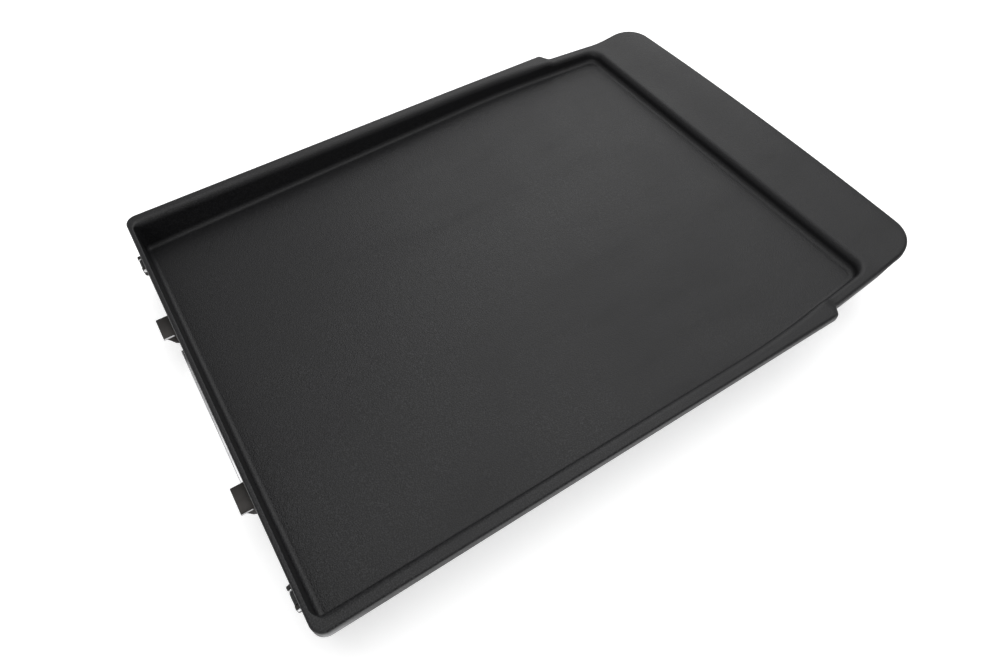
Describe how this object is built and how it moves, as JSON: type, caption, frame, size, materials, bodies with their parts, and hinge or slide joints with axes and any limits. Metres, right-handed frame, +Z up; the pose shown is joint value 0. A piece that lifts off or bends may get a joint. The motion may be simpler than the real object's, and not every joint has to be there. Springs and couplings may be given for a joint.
{
  "type": "electric griddle",
  "caption": "Slide-in electric griddle plate: sloping shallow well, swept-up handle, heater and terminals underneath, docking hooks and guide rollers at the other end.",
  "frame": {"origin": "middle of the bounding box in plan, at the height of the feet's undersides", "axes": "+X from the docking hooks towards the handle, +Y across the plate, +Z up"},
  "size_m": [0.4122, 0.3, 0.0475],
  "materials": {
    "coated_aluminium": "die-cast aluminium under a dark grey non-stick coating with a fine eggshell grain",
    "heater_sheath": "steel heater sheath, heat-darkened",
    "nickel_plate": "nickel-plated brass, bright",
    "glass_sleeve": "woven glass-fibre sleeving",
    "steatite": "unglazed steatite ceramic",
    "stainless_steel": "stainless steel, fine brushed",
    "aluminised_steel": "aluminised steel sheet, satin",
    "mineral_fibre": "pressed mineral fibre",
    "zinc_steel": "zinc-plated steel, satin",
    "foot_rubber": "black silicone rubber, matte",
    "black_steel": "pressed steel, dark brown-black baked finish with bare sheared edges",
    "roller_nylon": "black heat-resistant nylon"
  },
  "bodies": {
    "griddle": {"griddle_plate": "coated_aluminium", "heating_element": "heater_sheath", "temperature_sensor": "nickel_plate", "sensor_lead": "glass_sleeve", "terminal_block": "steatite", "earth_pin": "nickel_plate", "terminal_guard": "stainless_steel", "heat_shield": "aluminised_steel", "insulation_mat": "mineral_fibre", "power_pin_left": "nickel_plate", "signal_pin_left": "nickel_plate", "guard_screw_left": "stainless_steel", "heater_clamp_outer_left": "zinc_steel", "clamp_screw_outer_left": "zinc_steel", "heater_clamp_inner_left": "zinc_steel", "clamp_screw_inner_left": "zinc_steel", "foot_dock_left": "foot_rubber", "foot_screw_dock_left": "zinc_steel", "foot_handle_left": "foot_rubber", "foot_screw_handle_left": "zinc_steel", "shield_screw_left": "zinc_steel", "docking_hook_left": "black_steel", "hook_screw_left_1": "zinc_steel", "hook_screw_left_2": "zinc_steel", "roller_bracket_left": "black_steel", "bracket_screw_left": "zinc_steel", "roller_pin_left": "stainless_steel", "roller_washer_left": "stainless_steel", "power_pin_right": "nickel_plate", "signal_pin_right": "nickel_plate", "guard_screw_right": "stainless_steel", "heater_clamp_outer_right": "zinc_steel", "clamp_screw_outer_right": "zinc_steel", "heater_clamp_inner_right": "zinc_steel", "clamp_screw_inner_right": "zinc_steel", "foot_dock_right": "foot_rubber", "foot_screw_dock_right": "zinc_steel", "foot_handle_right": "foot_rubber", "foot_screw_handle_right": "zinc_steel", "shield_screw_right": "zinc_steel", "docking_hook_right": "black_steel", "hook_screw_right_1": "zinc_steel", "hook_screw_right_2": "zinc_steel", "roller_bracket_right": "black_steel", "bracket_screw_right": "zinc_steel", "roller_pin_right": "stainless_steel", "roller_washer_right": "stainless_steel"},
    "roller_left": {"guide_roller_left": "roller_nylon"},
    "roller_right": {"guide_roller_right": "roller_nylon"}
  },
  "joints": [
    {"name": "roller_left_spin", "type": "hinge", "parent": "griddle", "child": "roller_left", "pos_m": [-0.1995, -0.1224, 0.0282], "axis": [0, 1, 0], "continuous": true},
    {"name": "roller_right_spin", "type": "hinge", "parent": "griddle", "child": "roller_right", "pos_m": [-0.1995, 0.1224, 0.0282], "axis": [0, 1, 0], "continuous": true}
  ]
}
